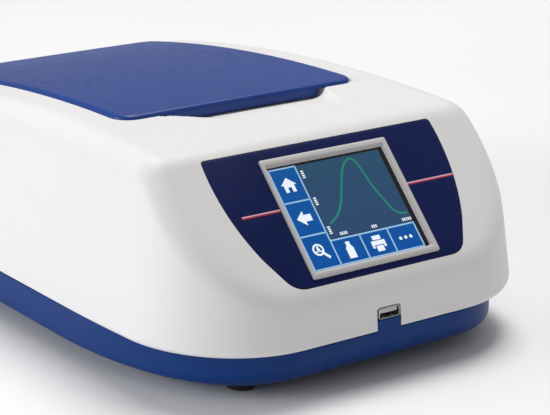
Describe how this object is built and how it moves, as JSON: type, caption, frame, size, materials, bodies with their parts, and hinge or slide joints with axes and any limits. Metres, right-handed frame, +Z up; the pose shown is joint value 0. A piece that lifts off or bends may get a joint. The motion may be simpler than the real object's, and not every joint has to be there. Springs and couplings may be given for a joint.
{
  "type": "spectrophotometer",
  "caption": "Benchtop spectrophotometer with a sloping touch screen, a hinged lid over its cuvette chamber, and optics and electronics inside.",
  "frame": {"origin": "on the bench, under the centre of the whole instrument's box", "axes": "+Z up, +Y from the screen end to the socket end, +X to the right as the user faces the screen"},
  "size_m": [0.233, 0.368, 0.1222],
  "materials": {
    "case_white": "fine satin moulded texture",
    "base_blue": "fine satin moulded texture",
    "lid_blue": "polished, slightly translucent",
    "overlay_navy": "smooth printed polycarbonate film",
    "bezel_grey": "satin",
    "screen_glass": "smooth touch glass over a lit display",
    "rubber_black": "matt",
    "plastic_black": "fine matt texture",
    "panel_grey": "powder coat",
    "steel": "bright plated",
    "aluminium": "milled",
    "black_anodised": "black anodised, matt",
    "optical_glass": "polished",
    "board_green": "solder mask",
    "display_black": "matt metal-backed panel",
    "flex_amber": "smooth film",
    "gold_contact": "gold plated",
    "mirror_coat": "first-surface mirror"
  },
  "bodies": {
    "instrument": {"top_case": "case_white", "base_tray": "base_blue", "rear_panel": "panel_grey", "rear_panel_screws": "steel", "rubber_feet": "rubber_black", "case_screws": "steel", "fascia_overlay": "overlay_navy", "screen_bezel": "bezel_grey", "touch_glass": "screen_glass", "display_panel": "display_black", "display_board": "board_green", "display_screws": "steel", "ribbon_cable": "flex_amber", "front_usb_shell": "steel", "front_usb_tongue": "bezel_grey", "front_usb_board": "board_green", "hinge_brackets": "steel", "hinge_bracket_screws": "steel", "hinge_pins": "steel", "lid_switch": "plastic_black", "lid_seal": "rubber_black", "chamber_liner": "plastic_black", "cuvette_holder": "black_anodised", "cuvette_spring": "steel", "holder_screws": "steel", "beam_windows": "optical_glass", "optical_bench": "aluminium", "bench_posts": "aluminium", "bench_screws": "steel", "lamp_housing": "aluminium", "lamp_bulb": "optical_glass", "collimator_barrel": "black_anodised", "collimator_lens": "optical_glass", "focus_barrel": "black_anodised", "focus_lens": "optical_glass", "entrance_slit": "steel", "spectrometer_housing": "black_anodised", "spectrometer_cover": "aluminium", "grating_block": "mirror_coat", "fold_mirror": "mirror_coat", "detector_array": "plastic_black", "detector_board": "board_green", "main_board": "board_green", "board_standoffs": "steel", "board_screws": "steel", "processor_heatsink": "aluminium", "rear_usb_socket": "steel", "rear_io_board": "board_green", "power_inlet": "plastic_black", "inlet_contact": "gold_contact", "switch_frame": "plastic_black"},
    "lid": {"sample_lid": "lid_blue", "lid_inner_plate": "plastic_black", "lid_hinge_arms": "lid_blue", "lid_screws": "steel", "lid_magnet": "steel"},
    "rocker": {"power_rocker": "plastic_black"}
  },
  "joints": [
    {"name": "lid_hinge", "type": "hinge", "parent": "instrument", "child": "lid", "pos_m": [0, 0.157, 0.09911], "axis": [-1, 0, 0], "range_deg": [0, 85]},
    {"name": "power_switch", "type": "hinge", "parent": "instrument", "child": "rocker", "pos_m": [0.044, 0.178, 0.054], "axis": [-1, 0, 0], "range_deg": [0, 14]}
  ]
}
